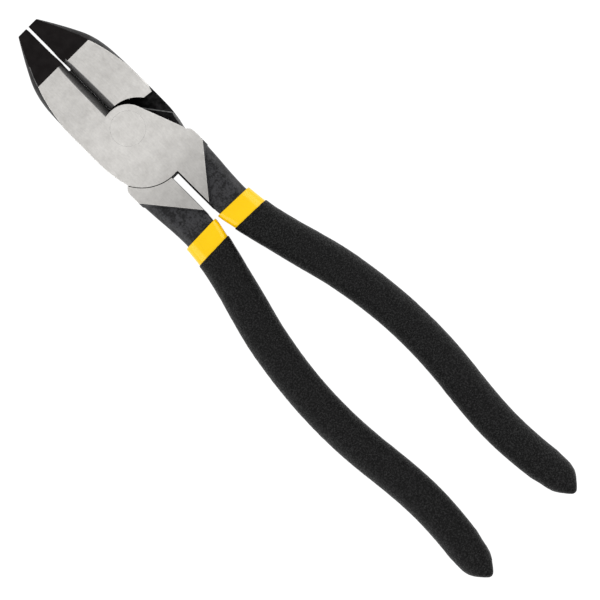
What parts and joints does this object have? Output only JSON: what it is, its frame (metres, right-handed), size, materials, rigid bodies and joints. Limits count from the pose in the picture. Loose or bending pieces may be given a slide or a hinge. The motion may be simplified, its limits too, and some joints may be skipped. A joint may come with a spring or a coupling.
{
  "type": "lineman pliers",
  "caption": "Lineman pliers with flat nose jaws, side cutters, a flush pivot rivet and long dipped handles, opening and closing.",
  "frame": {"origin": "where the pivot's axis meets the rear joint face, which the closed pliers lie on", "axes": "+Y along the tool towards the tip of the jaws, +Z out of the front joint face along the pivot's axis, +X to the right"},
  "size_m": [0.0534, 0.2345, 0.015],
  "materials": {
    "forged_steel": "ground joint faces, blackened nose, sides and necks",
    "rivet_steel": "ground flush with the joint faces",
    "yellow_dip": "smooth glossy vinyl dip",
    "black_dip": "fine-textured matte vinyl dip"
  },
  "bodies": {
    "rear": {"rear_half": "forged_steel", "pivot_rivet": "rivet_steel", "left_yellow_sleeve": "yellow_dip", "left_black_grip": "black_dip"},
    "front": {"front_half": "forged_steel", "right_yellow_sleeve": "yellow_dip", "right_black_grip": "black_dip"}
  },
  "joints": [
    {"name": "pivot", "type": "hinge", "parent": "rear", "child": "front", "pos_m": [0, 0, 0.0075], "axis": [0, 0, 1], "range_deg": [0, 42]}
  ]
}
